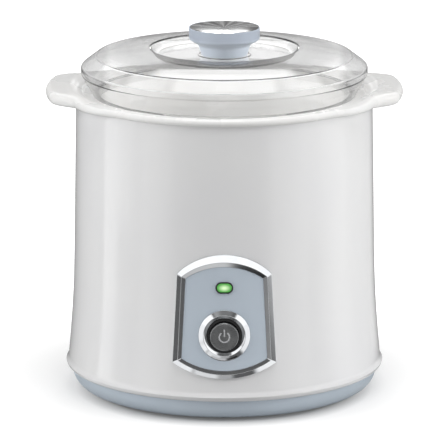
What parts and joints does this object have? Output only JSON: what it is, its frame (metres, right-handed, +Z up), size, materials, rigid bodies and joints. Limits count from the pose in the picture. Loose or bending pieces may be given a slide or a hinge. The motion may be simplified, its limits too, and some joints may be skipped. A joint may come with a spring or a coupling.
{
  "type": "yogurt maker",
  "caption": "Round countertop yogurt maker: flared white housing on a grey base, shield-shaped control panel with power button and lamp, lift-out eared pot and clear dished lid with knob.",
  "frame": {"origin": "on the floor, under the middle of the housing", "axes": "+Z up through the knob, -Y out of the control panel, +X towards the pot's right ear as seen from the front"},
  "size_m": [0.2128, 0.1923, 0.2187],
  "materials": {
    "white_plastic": "glossy injection moulded",
    "clear_plastic": "clear, polished",
    "white_glaze": "smooth white glaze",
    "grey_plastic": "satin",
    "foot_rubber": "matte",
    "zinc_steel": "zinc plated",
    "well_aluminium": "drawn sheet",
    "gasket_silicone": "matte silicone",
    "heater_silicone": "matte silicone mat",
    "nut_brass": "turned",
    "thermostat_black": "moulded phenolic",
    "fuse_ceramic": "matte",
    "frame_chrome": "bright plated",
    "silver_paint": "fine silver paint",
    "black_plastic": "satin",
    "lens_green": "diffusing, lit",
    "led_epoxy": "clear tinted",
    "button_gunmetal": "metallic lacquer",
    "mark_grey": "printed",
    "plunger_white": "satin",
    "board_green": "solder mask",
    "block_green": "satin",
    "pin_brass": "plated",
    "cap_spun": "spun, fine rings",
    "lead_brown": "insulation",
    "lead_blue": "insulation",
    "lead_black": "insulation",
    "lead_red": "insulation",
    "lead_white": "insulation"
  },
  "bodies": {
    "base_unit": {"base_screws": "zinc_steel", "base_tray": "grey_plastic", "board_screws": "zinc_steel", "button_ring": "frame_chrome", "button_sleeve": "black_plastic", "button_spring": "zinc_steel", "control_board": "board_green", "fuse_clip": "zinc_steel", "heater_clamp": "well_aluminium", "heater_mat": "heater_silicone", "heater_nut": "nut_brass", "heating_well": "well_aluminium", "housing_shell": "white_plastic", "indicator_bezel": "black_plastic", "indicator_led": "led_epoxy", "indicator_lens": "lens_green", "inlet_pins": "pin_brass", "inlet_screws": "zinc_steel", "lead_heater": "lead_white", "lead_live": "lead_brown", "lead_neutral": "lead_blue", "lead_switched": "lead_black", "lead_thermostat": "lead_red", "panel_frame": "frame_chrome", "panel_plate": "silver_paint", "power_inlet": "black_plastic", "rubber_feet": "foot_rubber", "sensor_screws": "zinc_steel", "switch_body": "black_plastic", "terminal_block": "block_green", "thermal_fuse": "fuse_ceramic", "thermostat": "thermostat_black", "well_gasket": "gasket_silicone", "well_screws": "zinc_steel"},
    "pot": {"inner_pot": "white_glaze"},
    "lid": {"lid_cover": "clear_plastic", "lid_knob": "silver_paint", "knob_cap": "cap_spun", "knob_screw": "zinc_steel", "knob_washer": "zinc_steel"},
    "button": {"power_button": "button_gunmetal", "power_mark": "mark_grey", "switch_plunger": "plunger_white"}
  },
  "joints": [
    {"name": "pot_lift", "type": "slide", "parent": "base_unit", "child": "pot", "axis": [0, 0, 1], "range_m": [0, 0.13]},
    {"name": "lid_lift", "type": "slide", "parent": "pot", "child": "lid", "axis": [0, 0, 1], "range_m": [0, 0.06]},
    {"name": "button_press", "type": "slide", "parent": "base_unit", "child": "button", "axis": [0, 1, 0], "range_m": [0, 0.0025], "stiffness_N_per_m": 400, "springref_m": -0.002, "deforming": ["button_spring"]}
  ]
}
